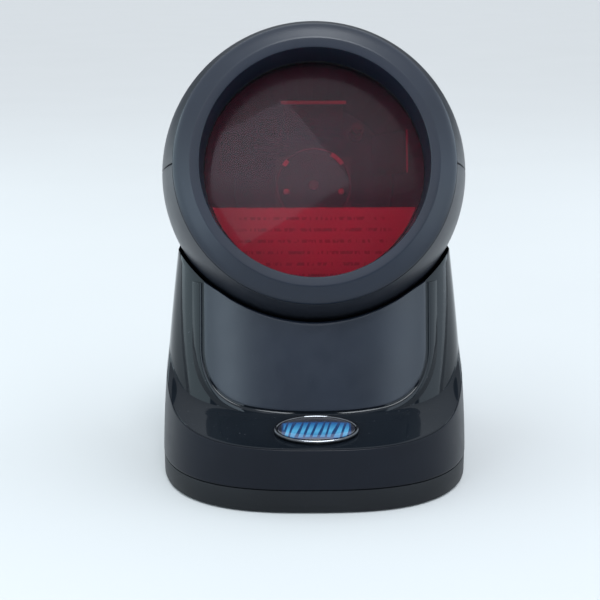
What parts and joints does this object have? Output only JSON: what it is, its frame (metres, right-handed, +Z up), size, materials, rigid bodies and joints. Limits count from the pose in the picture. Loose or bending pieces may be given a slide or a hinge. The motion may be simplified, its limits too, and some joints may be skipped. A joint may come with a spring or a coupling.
{
  "type": "presentation barcode scanner",
  "caption": "Hands-free desk barcode scanner: a ball-shaped laser head with a round red window, tilting in a socket on a moulded stand.",
  "frame": {"origin": "middle of the footprint, on the table under the rubber feet", "axes": "+Z up, the window faces -Y, +X is to the right for someone looking at the window"},
  "size_m": [0.104, 0.107, 0.1504],
  "materials": {
    "satin_charcoal": "satin",
    "matte_charcoal": "fine texture",
    "gloss_black": "polished",
    "inner_black": "matt",
    "red_window": "polished red filter",
    "rubber": "matt",
    "mirror": "first-surface mirror",
    "steel": "zinc plated",
    "brass": "turned",
    "chrome": "bright plated",
    "board": "solder-masked board",
    "label": "printed film",
    "badge_blue": "domed clear resin",
    "lead": "flexible sleeve",
    "led": "tinted lens"
  },
  "bodies": {
    "stand": {"stand_shell": "satin_charcoal", "front_trim": "gloss_black", "front_panel": "satin_charcoal", "cradle_cup": "matte_charcoal", "friction_pad_1": "rubber", "friction_pad_2": "rubber", "base_plate": "matte_charcoal", "ballast_plate": "steel", "interface_board": "board", "data_jack": "inner_black", "harness_stand": "lead", "badge_rim": "chrome", "badge_insert": "badge_blue", "foot_1": "rubber", "foot_2": "rubber", "foot_3": "rubber", "foot_4": "rubber", "base_screw_1": "steel", "base_screw_2": "steel", "base_screw_3": "steel", "base_screw_4": "steel", "tilt_screw_1": "steel", "tilt_washer_1": "steel", "tilt_screw_2": "steel", "tilt_washer_2": "steel"},
    "head": {"bezel_ring": "satin_charcoal", "upper_shell": "satin_charcoal", "lower_shell": "satin_charcoal", "window": "red_window", "window_gasket": "rubber", "label_plate": "label", "optics_frame": "inner_black", "collection_mirror": "mirror", "laser_module": "brass", "laser_holder": "inner_black", "fold_mirror": "mirror", "motor_stator": "steel", "motor_board": "board", "main_board": "board", "detector_board": "board", "status_led": "led", "buzzer": "inner_black", "harness_head": "lead", "pattern_mirror_1": "mirror", "pattern_mirror_2": "mirror", "pattern_mirror_3": "mirror", "pattern_mirror_4": "mirror", "pattern_mirror_5": "mirror", "optics_screw_1": "steel", "optics_screw_2": "steel", "optics_screw_3": "steel", "head_screw_1": "steel", "head_screw_2": "steel"},
    "scan_rotor": {"polygon_wheel": "mirror", "motor_shaft": "steel"}
  },
  "joints": [
    {"name": "head_tilt", "type": "hinge", "parent": "stand", "child": "head", "pos_m": [0, 0.002, 0.0995], "axis": [-1, 0, 0], "range_deg": [-18.8, 11.2]},
    {"name": "polygon_spin", "type": "hinge", "parent": "head", "child": "scan_rotor", "pos_m": [0, 0.00103, 0.09666], "axis": [0, -0.9466, 0.3223], "continuous": true}
  ]
}
